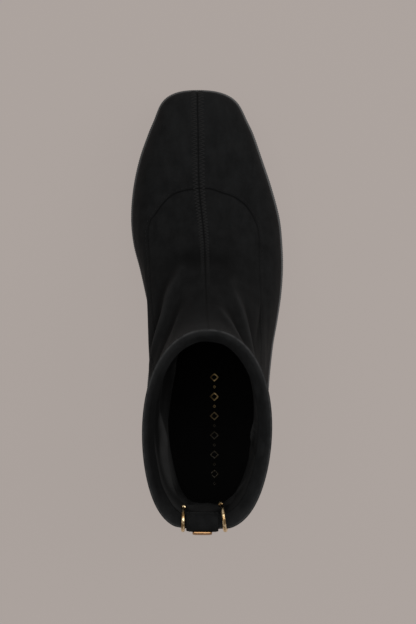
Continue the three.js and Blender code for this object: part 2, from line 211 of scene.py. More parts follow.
# Woven lining and sock cloth: two crossed sine waves in the piece's own map, in mm
def liningMaterial(name, tone, threadsPerMm):
    board = Board(name)
    map = board.node("ShaderNodeUVMap", dict(uv_map="map"))
    apart = board.node("ShaderNodeSeparateXYZ", None, {0: map})
    down = Wire(board, apart.socket.node.outputs[1])
    weave = (apart * (2 * pi * threadsPerMm)).wave() * (down * (2 * pi * threadsPerMm)).wave()
    cloud = board.noise(board.place(), 90, 3)
    colour = board.mixed((weave * 0.25 + cloud * 0.75).least(1.0), grey(tone * 0.6), grey(tone * 1.35, 0.02))
    # Painted shade: the lining is painted darker where shade falls inside the shaft
    colour = board.mixed(board.attribute("paintedShade"), colour, grey(tone * 0.12))
    return board.finish({
        "Base Color": colour, "Roughness": 0.75 + cloud * 0.2, "Normal": board.bump(weave, 0.05, 0.5),
        "Specular IOR Level": 0.04, "Sheen Weight": 0.008, "Sheen Roughness": 0.5})


def rubberMaterial(name, tone):
    board = Board(name)
    place = board.place()
    grain = board.noise(place, 2400, 2)
    cloud = board.noise(place, 60, 3)
    # The lip is painted paler, and palest on the outer side as a painted highlight
    edge = board.attribute("paintedLight")
    plain = board.mixed(cloud, grey(tone * 0.7), grey(tone * 1.4))
    colour = board.mixed(edge, plain, grey(tone * 5.0))
    return board.finish({
        "Base Color": colour, "Roughness": 0.52 + cloud * 0.2, "Normal": board.bump(grain, 0.05, 0.5),
        "Specular IOR Level": 0.4})


def goldMaterial(name, rough, dark, light):
    board = Board(name)
    place = board.place()
    polish = board.noise(board.stretched(place, (1.0, 0.2, 1.0)), 1500, 2)
    cloud = board.noise(place, 420, 2).rampUp(0.38, 0.62)
    colour = board.mixed(cloud, (*dark, 1.0), (*light, 1.0))
    return board.finish({
        "Base Color": colour, "Metallic": 1.0, "Roughness": rough + cloud * 0.08,
        "Normal": board.bump(polish, 0.01, 0.3)})


# Foil that is painted dark and matt where its attribute falls to 0, as painted shade towards the heel
def foilMaterial(name):
    board = Board(name)
    foilLit = board.attribute("foilLit")
    cloud = board.noise(board.place(), 1400, 2).rampUp(0.3, 0.6)
    colour = board.mixed(foilLit * (0.4 + cloud * 0.6), (0.010, 0.0085, 0.004, 1.0), (0.95, 0.66, 0.30, 1.0))
    return board.finish({
        "Base Color": colour, "Metallic": foilLit, "Roughness": 0.42, "Normal": board.bump(cloud, 0.01, 0.3)})


def threadMaterial(name, tone):
    board = Board(name)
    twist = board.noise(board.stretched(board.place(), (1.0, 1.0, 0.4)), 3500, 1)
    colour = board.mixed(twist, grey(tone * 0.7), grey(tone * 1.4, 0.02))
    return board.finish({
        "Base Color": colour, "Roughness": 0.6, "Normal": board.bump(twist, 0.05, 0.5),
        "Specular IOR Level": 0.15})


suede = suedeMaterial("upper_suede", True, suedeLook["dark"], suedeLook["light"])
# The hem is the upper's suede painted 1.8 times paler and with less sheen: painted light on the turned-over
# edge
litHemSuede = suedeMaterial("hem_suede_painted_lit", False, suedeLook["dark"] * 1.8, suedeLook["light"] * 1.8, True)
tabCloth = suedeMaterial("tab_suede", False, suedeLook["dark"], suedeLook["light"] * 0.95)
lining = liningMaterial("lining_cloth", 0.025, 1.4)
sock = liningMaterial("sock_cloth", 0.0052, 1.2)
rubber = rubberMaterial("sole_rubber", 0.014)
gold = goldMaterial("gold_metal", 0.2, (0.28, 0.17, 0.07), (1.0, 0.78, 0.48))
# The bar's gold is a darker copy of the hoops' gold: painted shade for the dark reflection on the bar
shadedBarGold = goldMaterial("bar_gold_painted_dark", 0.3, (0.32, 0.18, 0.08), (0.40, 0.23, 0.11))
foil = foilMaterial("gold_foil")
thread = threadMaterial("black_thread", 0.004)
paleThread = threadMaterial("worn_thread", 0.0092)
print("materials made")


# Meshes from arrays

# A grid of points, (rows, columns, 3), as one smooth mesh whose last column joins its first. It faces the
# way of row step x column step, or the other way with flip. ring joins the last row to the first, map is the
# place in mm that cloth is woven over, and second is a material with the row that it starts from.
def gridMesh(name, points, material, ring=False, map=None, wrap=True, fields=None, second=None, flip=False):
    rows, columns = points.shape[:2]
    low, left = np.meshgrid(np.arange(rows if ring else rows - 1), np.arange(columns), indexing="ij")
    high = (low + 1) % rows
    right = (left + 1) % columns
    corners = [low * columns + left, high * columns + left, high * columns + right, low * columns + right]
    if flip:
        corners = corners[::-1]
    faces = np.stack(corners, -1).reshape(-1, 4)
    piece = meshFrom(name, points.reshape(-1, 3), faces, material)
    mesh = piece.data
    if map is not None:
        step = [[[mapWidth(map) if wrap else 0.0, 0.0]]]
        wide = np.concatenate([map, map[:, :1] + step], 1)
        tall = np.concatenate([wide, wide[:1]], 0) if ring else wide
        spots = [(low, left), (low + 1, left), (low + 1, left + 1), (low, left + 1)]
        if flip:
            spots = spots[::-1]
        corner = np.stack([tall[row, column] for row, column in spots], 2).reshape(-1, 2)
        layer = mesh.uv_layers.new(name="map")
        layer.data.foreach_set("uv", corner.astype(np.float32).ravel())
    for field, values in (fields or {}).items():
        layer = mesh.attributes.new(field, "FLOAT", "POINT")
        layer.data.foreach_set("value", values.astype(np.float32).ravel())
    if second is not None:
        mesh.materials.append(second[0])
        mesh.polygons.foreach_set("material_index", (low >= second[1]).astype(np.int32).ravel())
    return piece


def mapWidth(map):
    return float(map[0, -1, 0] - map[0, 0, 0]) * map.shape[1] / (map.shape[1] - 1)


def meshFrom(name, points, faces, material):
    mesh = bpy.data.meshes.new(name)
    place = (points - [soleMiddle, bootLength / 2, 0]) * mm
    mesh.from_pydata(place.tolist(), [], faces.tolist())
    mesh.polygons.foreach_set("use_smooth", np.ones(len(mesh.polygons), bool))
    mesh.materials.append(material)
    mesh.update()
    piece = bpy.data.objects.new(name, mesh)
    bpy.context.collection.objects.link(piece)
    return piece


def placed(piece, slotName, *nodes):
    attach(piece, "root")
    if nodes:
        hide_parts(*nodes)
    print("made", piece.name, len(piece.data.polygons), "faces")
    return piece


def unit(vectors):
    return vectors / np.maximum(np.linalg.norm(vectors, axis=-1, keepdims=True), 1e-9)


def clip01(values):
    return np.clip(values, 0, 1)


# 1 where the value is 0, falling to 0 over the width on both sides, flatter in the middle at a higher power
def bell(value, width, power=2):
    return np.exp(-(value / width) ** power)


# Angles evenly round a circle
def evenAngles(count):
    return np.arange(count) * 2 * pi / count


# Length along a line of points, from its start to each of them
def lengthAlong(*columns):
    points = np.stack(columns, -1) if len(columns) > 1 else columns[0]
    return np.concatenate([[0], np.cumsum(np.linalg.norm(np.diff(points, axis=0), axis=1))])


# Degrees from -180 to 180, 0 at the toe, above 0 on the outer side
def degreesOf(turn):
    return np.degrees((turn + pi) % (2 * pi) - pi)


# Faces of many equal tubes whose points lie one tube after the other; ring joins the last row to the first
def tubeFaces(count, rows, sides, ring=False):
    low, turn = np.meshgrid(np.arange(rows if ring else rows - 1), np.arange(sides), indexing="ij")
    high, nextTurn = (low + 1) % rows, (turn + 1) % sides
    corners = [low * sides + turn, low * sides + nextTurn, high * sides + nextTurn, high * sides + turn]
    first = np.arange(count)[:, None, None, None] * rows * sides
    return (first + np.stack(corners, -1)).reshape(-1, 4)


# Smooth curve through a table's columns: a cubic between neighbours, sloped like the rows beside it
def curveThrough(across, values, place):
    slope = np.empty_like(values)
    slope[1:-1] = (values[2:] - values[:-2]) / (across[2:] - across[:-2])
    slope[0] = (values[1] - values[0]) / (across[1] - across[0])
    slope[-1] = (values[-1] - values[-2]) / (across[-1] - across[-2])
    i = np.clip(np.searchsorted(across, place, side="right") - 1, 0, len(across) - 2)
    step = across[i + 1] - across[i]
    f = np.clip((place - across[i]) / step, 0, 1)
    return ((1 + 2 * f) * (1 - f) ** 2 * values[i] + f * (1 - f) ** 2 * step * slope[i]
            + f * f * (3 - 2 * f) * values[i + 1] + f * f * (f - 1) * step * slope[i + 1])


# The last, as in the part: the same sizes and tables

bootLength = 246.0
ballWidth = 87.0
heelWidth = 67.0
collarHeight = 187.0
wall = 1.6
gap = 0.3
tabMiddle = -2.9
last = dict(toeShift=6.0, toeRound=16.0, heelRound=34.0, heelHeight=55.0, platformHeight=14.0, toeSpring=7.0,
            waistLift=2.5, collarWidth=66.0, collarShift=1.8, fullness=0.91, bluntBack=0.28, edgeShow=1.4)

soleOutline = np.array([
    # along, width it is a share of, medial, lateral
    (0.00, heelWidth, 0.463, 0.463),
    (0.10, heelWidth, 0.487, 0.487),
    (0.20, heelWidth, 0.502, 0.504),
    (0.30, heelWidth, 0.507, 0.522),
    (0.40, ballWidth, 0.363, 0.437),
    (0.46, ballWidth, 0.362, 0.472),
    (0.52, ballWidth, 0.393, 0.503),
    (0.58, ballWidth, 0.428, 0.521),
    (0.64, ballWidth, 0.467, 0.523),
    (0.70, ballWidth, 0.478, 0.511),
    (0.77, ballWidth, 0.457, 0.467),
    (0.84, ballWidth, 0.407, 0.409),
    (0.90, ballWidth, 0.340, 0.356),
    (0.95, ballWidth, 0.278, 0.298),
    (1.00, ballWidth, 0.262, 0.283),
])
footbedDrop = np.array([
    # along, share of the heel's lift that is left
    (0.00, 1.0), (0.10, 0.985), (0.20, 0.93), (0.30, 0.80), (0.40, 0.58),
    (0.50, 0.31), (0.58, 0.12), (0.66, 0.02), (0.74, 0.0), (1.00, 0.0),
])
lastRings = np.array([
    # front, frontRise, back, backRise, girth, edge, mix, half, ridge, blunt
    (1.000, 0.000, 0.000, 0.000, 1.000, 1.6, 0.00, 1.190, 0.00, 0.00),
    (1.000, 0.054, 0.000, 0.114, 1.000, 1.0, 0.00, 1.190, 0.00, 0.00),
    (0.988, 0.107, 0.001, 0.220, 0.965, 0.0, 0.00, 1.190, 0.00, 0.00),
    (0.958, 0.153, 0.005, 0.303, 0.905, 0.0, 0.12, 1.160, 0.90, 0.00),
    (0.900, 0.184, 0.012, 0.371, 0.830, 0.0, 0.34, 1.100, 0.95, 0.00),
    (0.800, 0.218, 0.020, 0.432, 0.760, 0.0, 0.60, 1.030, 0.93, 0.00),
    (0.700, 0.270, 0.029, 0.500, 0.720, 0.0, 0.80, 0.990, 0.75, 0.00),
    (0.600, 0.362, 0.036, 0.576, 0.700, 0.0, 0.95, 0.940, 0.50, 0.00),
    (0.520, 0.475, 0.040, 0.659, 0.700, 0.0, 1.00, 0.910, 0.30, 0.05),
    (0.470, 0.632, 0.040, 0.758, 0.700, 0.0, 1.00, 0.900, 0.17, 0.25),
    (0.449, 0.822, 0.035, 0.879, 0.700, 0.0, 1.00, 0.945, 0.07, 0.65),
    (0.442, 1.000, 0.030, 1.000, 0.700, 0.0, 1.00, 1.000, 0.00, 1.00),
])
ringSteps = np.arange(len(lastRings), dtype=float)
ringEdge = lastRings[:, 5] * last["edgeShow"]


def springAt(along):
    return last["toeSpring"] * np.maximum(0, (along - 0.74) / 0.26) ** 2


def undersideAt(along):
    inArch = np.clip((along - 0.26) / 0.31, 0, 1)
    return springAt(along) + last["waistLift"] * np.sin(pi * inArch) ** 2


def footbedAt(along):
    drop = curveThrough(footbedDrop[:, 0], footbedDrop[:, 1], along)
    return springAt(along) + last["platformHeight"] + (last["heelHeight"] - last["platformHeight"]) * drop


# 1 along the sole's middle, closing to 0 at both tips as part of a superellipse
def endCurve(along):
    def curve(distance, length, power):
        return np.maximum(0, 1 - np.clip(1 - distance / length, 0, 1) ** power) ** (1 / power)
    toe = curve((1 - along) * bootLength, last["toeRound"], 2.5)
    return toe * curve(along * bootLength, last["heelRound"], 2.2)


# x and y of the sole's outline: turn 0 at the toe's tip, half a circle at the heel's back
def outlineAt(turn):
    along = (1 + np.cos(turn)) / 2
    width = curveThrough(soleOutline[:, 0], soleOutline[:, 1] * soleOutline[:, 3], along)
    inner = curveThrough(soleOutline[:, 0], soleOutline[:, 1] * soleOutline[:, 2], along)
    half = np.where(np.sin(turn) >= 0, width, -inner)
    return -last["toeShift"] * along ** 2 + half * endCurve(along), along * bootLength


def insetOutline(turn, inset):
    aheadX, aheadY = outlineAt(turn + 0.01)
    behindX, behindY = outlineAt(turn - 0.01)
    x, y = outlineAt(turn)
    way = unit(np.stack([aheadX - behindX, aheadY - behindY], -1))
    return x + way[..., 1] * inset, y - way[..., 0] * inset


sideStations = outlineAt(evenAngles(72))[0]
soleMiddle = (sideStations.min() + sideStations.max()) / 2


# The last's surface: rings from the sole's edge (rise 0) to the collar (rise 1), each between the sole's
# outline and a shaft oval, and leaning from its back height to its front height
def lastPoint(turn, rise):
    step = rise * (len(lastRings) - 1)
    column = [curveThrough(ringSteps, values, step) for values in (
        lastRings[:, 0] - ringEdge / bootLength, lastRings[:, 1], lastRings[:, 2] + ringEdge / bootLength,
        lastRings[:, 3], lastRings[:, 4] - 2 * ringEdge / ballWidth, lastRings[:, 6],
        lastRings[:, 7] * last["collarWidth"] / 2, -lastRings[:, 8] * last["toeShift"], lastRings[:, 9])]
    front, frontRise, back, backRise, girth, mix, half, ridge, blunt = column
    share = (1 + np.cos(turn)) / 2
    along = back + (front - back) * share
    fullness = last["fullness"] - last["bluntBack"] * blunt * (1 - share)
    sideways = np.sign(np.sin(turn)) * np.abs(np.sin(turn)) ** fullness
    oval = half * sideways + ridge * share ** 2 - last["collarShift"] * blunt * (1 - share) ** 2
    x = (1 - mix) * outlineAt(turn)[0] * girth + mix * oval
    risen = backRise + (frontRise - backRise) * share
    footbed = footbedAt(along)
    return np.stack([x, along * bootLength, footbed + gap + risen * (collarHeight - footbed - gap)], -1)


# Steps of the surface per unit of turn and of rise, and its outward direction
def lastSlopes(turn, rise):
    small = 0.004
    high = np.minimum(rise + small, 1)
    low = np.maximum(rise - small, 0)
    around = (lastPoint(turn + small, rise) - lastPoint(turn - small, rise)) / (2 * small)
    upward = (lastPoint(turn, high) - lastPoint(turn, low)) / (high - low)[..., None]
    return around, upward, unit(np.cross(upward, around))


# Creases, as soft ridges and troughs. Each runs through places given as (turn in degrees, rise);
# its cross-section is a bell of that width, and it fades to nothing at both ends.
creases = [
    dict(name="inner ankle fold", width=4.6, height=3.0,
         places=[(-19, 0.636), (-27.5, 0.656), (-37, 0.668), (-47.2, 0.700), (-56, 0.706), (-68, 0.690),
                 (-84, 0.65)]),
    dict(name="under the inner ankle fold", width=4.8, height=-1.9,
         places=[(-30, 0.625), (-42, 0.640), (-54, 0.657), (-66, 0.645), (-82, 0.60)]),
    dict(name="over the inner ankle fold", width=4.2, height=-1.6,
         places=[(-20, 0.700), (-29, 0.735), (-38, 0.762), (-50, 0.775), (-62, 0.765), (-78, 0.73)]),
    dict(name="faint inner fold", width=3.2, height=0.9,
         places=[(-21, 0.735), (-28.5, 0.779), (-34, 0.835), (-38, 0.89)]),
    dict(name="outer ankle fold", width=4.2, height=3.0,
         places=[(27, 0.655), (31.3, 0.686), (38, 0.716), (43.8, 0.759), (48, 0.80), (52.5, 0.86),
                 (56, 0.93)]),
    dict(name="beside the outer ankle fold", width=4.2, height=-1.3,
         places=[(38, 0.650), (48, 0.700), (54, 0.765), (58, 0.85), (61, 0.92)]),
    dict(name="between the outer folds", width=3.6, height=-1.6,
         places=[(20, 0.730), (29, 0.762), (36, 0.805), (41, 0.87), (45, 0.94)]),
    dict(name="short outer fold", width=3.2, height=1.9,
         places=[(11, 0.760), (18, 0.796), (23, 0.822), (28.5, 0.872), (33, 0.94)]),
    dict(name="outer side line", width=2.4, height=-1.1,
         places=[(71, 0.500), (70.2, 0.540), (70, 0.574), (67, 0.630), (62, 0.70)]),
    dict(name="instep roll", width=9.0, height=-1.0,
         places=[(-40, 0.600), (-15, 0.625), (12, 0.628), (38, 0.610)]),
    dict(name="instep roll above", width=8.0, height=0.8,
         places=[(-24, 0.700), (0, 0.725), (20, 0.720)]),
    dict(name="back ankle fold", width=6.0, height=-1.0,
         places=[(128, 0.665), (160, 0.640), (200, 0.640), (232, 0.665)]),
    dict(name="back ankle roll", width=5.0, height=0.9,
         places=[(120, 0.725), (155, 0.700), (205, 0.700), (240, 0.725)]),
    dict(name="inner side fold", width=4.0, height=0.9,
         places=[(-80, 0.700), (-96, 0.670), (-118, 0.690)]),
    dict(name="outer heel fold", width=4.5, height=0.8,
         places=[(86, 0.660), (102, 0.640), (124, 0.675)]),
    dict(name="outer shaft dent", width=9.0, height=-0.9,
         places=[(88, 0.80), (92, 0.88), (96, 0.95)]),
    dict(name="inner shaft dent", width=9.0, height=-0.9,
         places=[(-86, 0.82), (-92, 0.90), (-96, 0.96)]),
]


# Points along a line through places, evenly spread, with the share of the line at each
def alongPlaces(places, count):
    knots = np.arange(len(places), dtype=float)
    share = np.linspace(0, len(places) - 1, count)
    table = np.array(places, float)
    turn = np.radians(curveThrough(knots, table[:, 0], share))
    rise = curveThrough(knots, table[:, 1], share)
    return turn, rise, share / (len(places) - 1)


# The highest of the bells that stand at the spots, each as high as its weight
def bellsAt(points, spots, weights, width):
    highest = np.zeros(points.shape[:-1])
    for spot, weight in zip(spots, weights):
        apart = ((points - spot) ** 2).sum(-1)
        highest = np.maximum(highest, weight * np.exp(-apart / width ** 2))
    return highest


def creaseBells(points, crease, count, width):
    turn, rise, share = alongPlaces(crease["places"], count)
    return bellsAt(points, lastPoint(turn, rise), np.sin(pi * share) ** 0.7, width)


def creaseLift(points):
    return sum(crease["height"] * creaseBells(points, crease, 46, crease["width"]) for crease in creases)


# 1 along the top of each high fold, where a painted highlight goes, and falling off within its width in mm
def crestShine(points, width=1.5, highEnough=1.5):
    high = [crease for crease in creases if crease["height"] > highEnough]
    return np.max([creaseBells(points, crease, 90, width) for crease in high], axis=0)


# The padded edge stands proud of the collar at the front and the back, but not under the pull tab
def edgeRoll(turn, points):
    frontBack = 0.25 + 0.65 * np.cos(turn) ** 2
    nearTab = bell(points[..., 0] - tabMiddle, 12.5, 8) * (np.cos(turn) < 0)
    return frontBack * (1 - nearTab)


# The upper's skin: the last moved outwards by the creases and a slow wave, and inwards by a depth
def upperSkin(turn, rise, depth=0.0):
    points = lastPoint(turn, rise)
    outward = lastSlopes(turn, rise)[2]
    lift = creaseLift(points)
    slow = 0.25 * np.sin(3 * turn + 7 * rise) * np.sin(9 * rise + 2 * turn + 1) * np.sin(pi * rise)
    edge = clip01(np.minimum(rise, (1 - rise) * 2.5) * 14)
    tuck = (1.0 + 0.9 * clip01(np.sin(turn))) * bell(rise, 0.15)
    roll = edgeRoll(turn, points) * bell(1 - rise, 0.035)
    moved = (lift + slow) * edge + roll - depth - tuck
    return points + outward * moved[..., None], lift * edge


# Upper: outer skin, rounded top edge, inner wall, and a closing band under the sole's edge
upper = dict(columns=440, outerRows=176, rimRows=3, innerRows=32)


def makeUpper():
    turn = evenAngles(upper["columns"])
    outerRise = np.linspace(0, 1, upper["outerRows"])
    innerRise = np.linspace(1, 0, upper["innerRows"])
    outer, lift = upperSkin(*np.meshgrid(turn, outerRise))
    inner, _ = upperSkin(*np.meshgrid(turn, innerRise), depth=wall)
    top = outer[-1]
    sideways = unit(lastSlopes(turn, np.ones_like(turn))[2] * [1, 1, 0])
    rim = []
    for k in range(1, upper["rimRows"] + 1):
        angle = pi * k / (upper["rimRows"] + 1)
        rim.append(top - sideways * (wall / 2) * (1 - cos(angle)))
    inner[0] = top - sideways * wall
    points = np.concatenate([outer, np.array(rim), inner])
    rowRise = np.concatenate([outerRise, np.ones(upper["rimRows"]), innerRise])
    turns, rises = np.meshgrid(turn, rowRise)
    lifts = np.zeros_like(turns)
    lifts[:len(lift)] = lift
    shine = np.zeros_like(turns)
    shine[:len(lift)] = crestShine(lastPoint(*np.meshgrid(turn, outerRise)))
    # Painted light on the suede: toe, foot edge and top edge paler, shaft darker, and the ridges and crests
    # of the high folds painted as highlights
    paintedLight = paintedLightAt(turns, rises, points) + clip01(lifts / 2.4) ** 3 * 0.9 + shine * 1.1
    paintedLight = np.clip(paintedLight, -0.34, 1.7)
    # Painted shade in the troughs of the creases
    paintedShade = clip01(-lifts / 1.3) ** 1.2
    fields = dict(paintedLight=paintedLight, paintedShade=paintedShade, **seamFields(turns, rises, points))
    map = np.stack([turns * 38, rises * 190], -1)
    innerStart = upper["outerRows"] + upper["rimRows"] + 1
    second = (lining, innerStart)
    return gridMesh("upper_skin", points, suede, ring=True, map=map, fields=fields, second=second)


# Painted light: the toe, the foot's edge and the top edge are painted paler as painted highlight, and the
# shaft is painted darker as painted shade.
def paintedLightAt(turn, rise, points):
    toe = clip01((points[..., 1] - 180) / 66) ** 1.2 * 0.45
    foot = clip01(1 - rise / 0.17) ** 1.3 * 0.9
    edge = clip01((rise - 0.985) / 0.015) * 0.9
    shaft = clip01((rise - 0.5) / 0.3) * 0.34
    return toe + foot + edge - shaft


# Seams. The centre seam runs over the foot and up the shaft. The arch seam crosses the vamp and climbs
# both sides.
centreSeam = np.array([
    # rise, turn in degrees
    (0.0, 0.0), (0.487, 0.0), (0.60, 2.0), (0.72, 1.0), (1.0, 0.5),
])
archSeam = np.array([
    # turn in degrees, rise
    (-78, 1.0), (-74, 0.84), (-68, 0.70), (-62.5, 0.61), (-60.5, 0.545), (-59.4, 0.49), (-58.6, 0.447),
    (-57.4, 0.413), (-53, 0.410), (-44.2, 0.437), (-29.8, 0.464), (-15.7, 0.483), (-4.5, 0.489), (5.7, 0.487),
    (18.3, 0.481), (33.2, 0.452), (42.8, 0.427), (50.5, 0.410), (56.5, 0.402), (60.0, 0.420), (62.2, 0.450),
    (66.2, 0.504), (70.0, 0.563), (72.5, 0.64), (75, 0.78), (78, 1.0),
])


# Signed distances, in mm, to both seams: across the middle line, and inside or outside the arch's outline
def seamFields(turn, rise, points):
    levels = np.linspace(0, 1, 60)
    spread = np.radians(curveThrough(centreSeam[:, 0], centreSeam[:, 1], levels))
    frontX = lastPoint(spread, levels)[:, 0]
    backX = lastPoint(np.full(60, pi), levels)[:, 0]
    share = (1 + np.cos(turn)) / 2
    middle = np.interp(rise, levels, frontX) * share + np.interp(rise, levels, backX) * (1 - share)
    centreOff = points[..., 0] - middle
    seamTurn, seamRise, _ = alongPlaces(archSeam, 420)
    spots, _ = upperSkin(seamTurn, seamRise)
    nearest = np.full(points.shape[:-1], 1e9)
    wrapped = (turn + pi) % (2 * pi) - pi
    inside = np.zeros(points.shape[:-1], bool)
    for k in range(len(spots) - 1):
        run = spots[k + 1] - spots[k]
        part = clip01(((points - spots[k]) @ run) / (run @ run))
        nearest = np.minimum(nearest, ((points - spots[k] - part[..., None] * run) ** 2).sum(-1))
        firstTurn, nextTurn = seamTurn[k], seamTurn[k + 1]
        firstRise, nextRise = seamRise[k], seamRise[k + 1]
        crosses = (firstTurn > wrapped) != (nextTurn > wrapped)
        if firstTurn != nextTurn:
            level = firstRise + (wrapped - firstTurn) / (nextTurn - firstTurn) * (nextRise - firstRise)
            inside ^= crosses & (rise > level)
    held = np.clip((np.cos(turn) - 0.3) / 0.45, 0.3, 1)   # the seam is pulled tight over the foot only
    return dict(centreOff=centreOff, archOff=np.sqrt(nearest) * np.where(inside, 1, -1), seamHeld=held)


placed(makeUpper(), "suede", "upper")


# Threads: stitches as short arched tubes between two rows of points, all in one mesh
def stitchMesh(name, starts, ends, outward, thickness, arch, material):
    sides, stations = 5, 5
    share = np.linspace(0, 1, stations)
    hump = np.sin(pi * share)
    middle = (starts[:, None] * (1 - share)[None, :, None] + ends[:, None] * share[None, :, None]
              + outward[:, None] * (arch * hump - 0.1)[None, :, None])
    way = unit(ends - starts)
    side = unit(np.cross(outward, way))
    up = np.cross(way, side)
    around = evenAngles(sides)[None, :, None]
    circle = side[:, None, :] * np.cos(around) + up[:, None, :] * np.sin(around)
    girth = np.reshape(thickness, (-1, 1)) / 2 * (0.35 + 0.65 * hump ** 0.4)
    points = middle[:, :, None, :] + circle[:, None] * girth[:, :, None, None]
    return meshFrom(name, points.reshape(-1, 3), tubeFaces(len(starts), stations, sides), material)


# Places at an even pitch along a seam, and the same places moved sideways over the surface
def seamSpots(places, pitch, byRise=False, fromShare=0.0, toShare=1.0):
    if byRise:
        rise = np.linspace(0, 1, 900)
        turn = np.radians(curveThrough(places[:, 0], places[:, 1], rise))
    else:
        turn, rise, _ = alongPlaces(places, 900)
    spots = lastPoint(turn, rise)
    run = lengthAlong(spots)
    marks = np.arange(run[-1] * fromShare, run[-1] * toShare, pitch)
    return np.interp(marks, run, turn), np.interp(marks, run, rise)


def beside(turn, rise, across, ahead=0.0):
    spots = lastPoint(turn, rise)
    way = unit(np.gradient(spots, axis=0))
    side = np.cross(way, lastSlopes(turn, rise)[2])
    target = spots + side * np.reshape(across, (-1, 1)) + way * np.reshape(ahead, (-1, 1))
    for _ in range(5):   # each step closes in on the place of the surface that lies nearest to the target
        around, upward, outward = lastSlopes(turn, rise)
        step = (target - lastPoint(turn, rise)) * 0.8
        aa, ab, bb = (around ** 2).sum(-1), (around * upward).sum(-1), (upward ** 2).sum(-1)
        pa, pb = (around * step).sum(-1), (upward * step).sum(-1)
        spread = aa * bb - ab * ab
        turn = turn + (pa * bb - pb * ab) / spread
        rise = np.clip(rise + (pb * aa - pa * ab) / spread, 0.002, 1)
    return upperSkin(turn, rise)[0], outward


stitches = dict(zigzagPitch=(2.3, 2.0), zigzagNear=0.35, zigzagFar=(3.8, 2.8), zigzagTo=0.72, thickness=0.42,
                zigzagThickness=0.55, archPitch=2.6, archLength=1.8, archOffset=1.5)


# Two zigzag rows, one on each side of the centre seam. Pitch and width go from the toe's to the ankle's.
def makeCentreStitches():
    turn, rise = seamSpots(centreSeam, 0.05, True, 0.015)
    rowsDown = clip01((rise - 0.44) / 0.16)
    toe, ankle = stitches["zigzagPitch"]
    turns = np.cumsum(0.05 / ((toe + (ankle - toe) * rowsDown) / 2))
    turns = turns[rise < stitches["zigzagTo"]]
    marks = np.searchsorted(turns, np.arange(1, int(turns[-1])))
    turn, rise, rowsDown = turn[marks], rise[marks], rowsDown[marks]
    wide, narrow = stitches["zigzagFar"]
    far = wide + (narrow - wide) * rowsDown
    swing = np.where(np.arange(len(turn)) % 2 == 0, stitches["zigzagNear"], far)
    rows = []
    for side in (1, -1):
        spots, outward = beside(turn, rise, side * swing)
        rows.append((spots[:-1], spots[1:], outward[:-1]))
    starts, ends, outward = [np.concatenate(parts) for parts in zip(*rows)]
    thinner = np.clip((stitches["zigzagTo"] - rise[:-1]) / 0.14, 0.2, 1)   # the row thins out up the ankle
    thickness = np.tile(stitches["zigzagThickness"] * thinner, 2)
    return stitchMesh("centre_stitches", starts, ends, outward, thickness, 0.22, paleThread)


# One running row just inside the arch seam, up both sides
def makeArchStitches():
    turn, rise = seamSpots(archSeam, stitches["archPitch"], False, 0.02, 0.98)
    offset = np.full(len(turn), stitches["archOffset"])
    half = np.full(len(turn), stitches["archLength"] / 2)
    starts, outward = beside(turn, rise, -offset, -half)
    ends, _ = beside(turn, rise, -offset, half)
    return stitchMesh("arch_stitches", starts, ends, outward, stitches["thickness"], 0.25, thread)


placed(makeCentreStitches(), "suede")
placed(makeArchStitches(), "suede")


# Collar's hem: the suede turned over the top edge and padded, then the cloth lining below it.
# depth is measured in from the wall's outside, up from the collar's height.
hem = dict(thickness=1.2, columns=360)
hemProfile = np.array([
    # depth, up
    (1.90, -24.0), (1.90, -12.0), (1.90, -0.3), (1.80, 0.10), (1.00, 0.12), (0.30, 0.12),
    (0.05, 0.20), (0.02, 0.45), (0.25, 0.75), (0.80, 0.95), (1.50, 0.90), (2.20, 0.55), (2.80, -0.10),
    (3.30, -1.00), (3.80, -2.10), (4.30, -3.40), (4.75, -4.80), (5.15, -6.20), (5.40, -7.40), (5.35, -8.40),
    (4.90, -9.10), (4.10, -9.50), (3.40, -9.90), (3.10, -12.0), (3.10, -18.0), (3.10, -24.0),
])
liner = dict(top=9.2, thickness=1.0, columns=320, rows=120, bottomRise=0.10)
linerPuff = np.array([
    # turn in degrees, how far it stands off, where below the collar it starts to and where it is full
    (-180, 4.4, 8, 26), (-168, 3.4, 8, 28), (-152, 1.6, 10, 34), (-120, 4.2, 9, 30), (-95, 5.6, 12, 34),
    (-75, 5.6, 20, 40),
    (-50, 4.6, 22, 44), (-25, 2.4, 16, 36), (0, 1.0, 12, 30), (40, 1.0, 12, 30), (75, 1.4, 12, 30),
    (100, 1.8, 10, 28), (130, 0.8, 10, 30), (152, 1.0, 10, 34), (170, 3.2, 8, 28), (180, 4.4, 8, 26),
], float)


# The rise at which the last reaches a height, by halving for all turns at once
def riseForHeight(turn, height):
    low = np.zeros_like(turn)
    high = np.ones_like(turn)
    for _ in range(26):
        middle = (low + high) / 2
        under = lastPoint(turn, middle)[..., 2] < height
        low = np.where(under, middle, low)
        high = np.where(under, high, middle)
    return (low + high) / 2


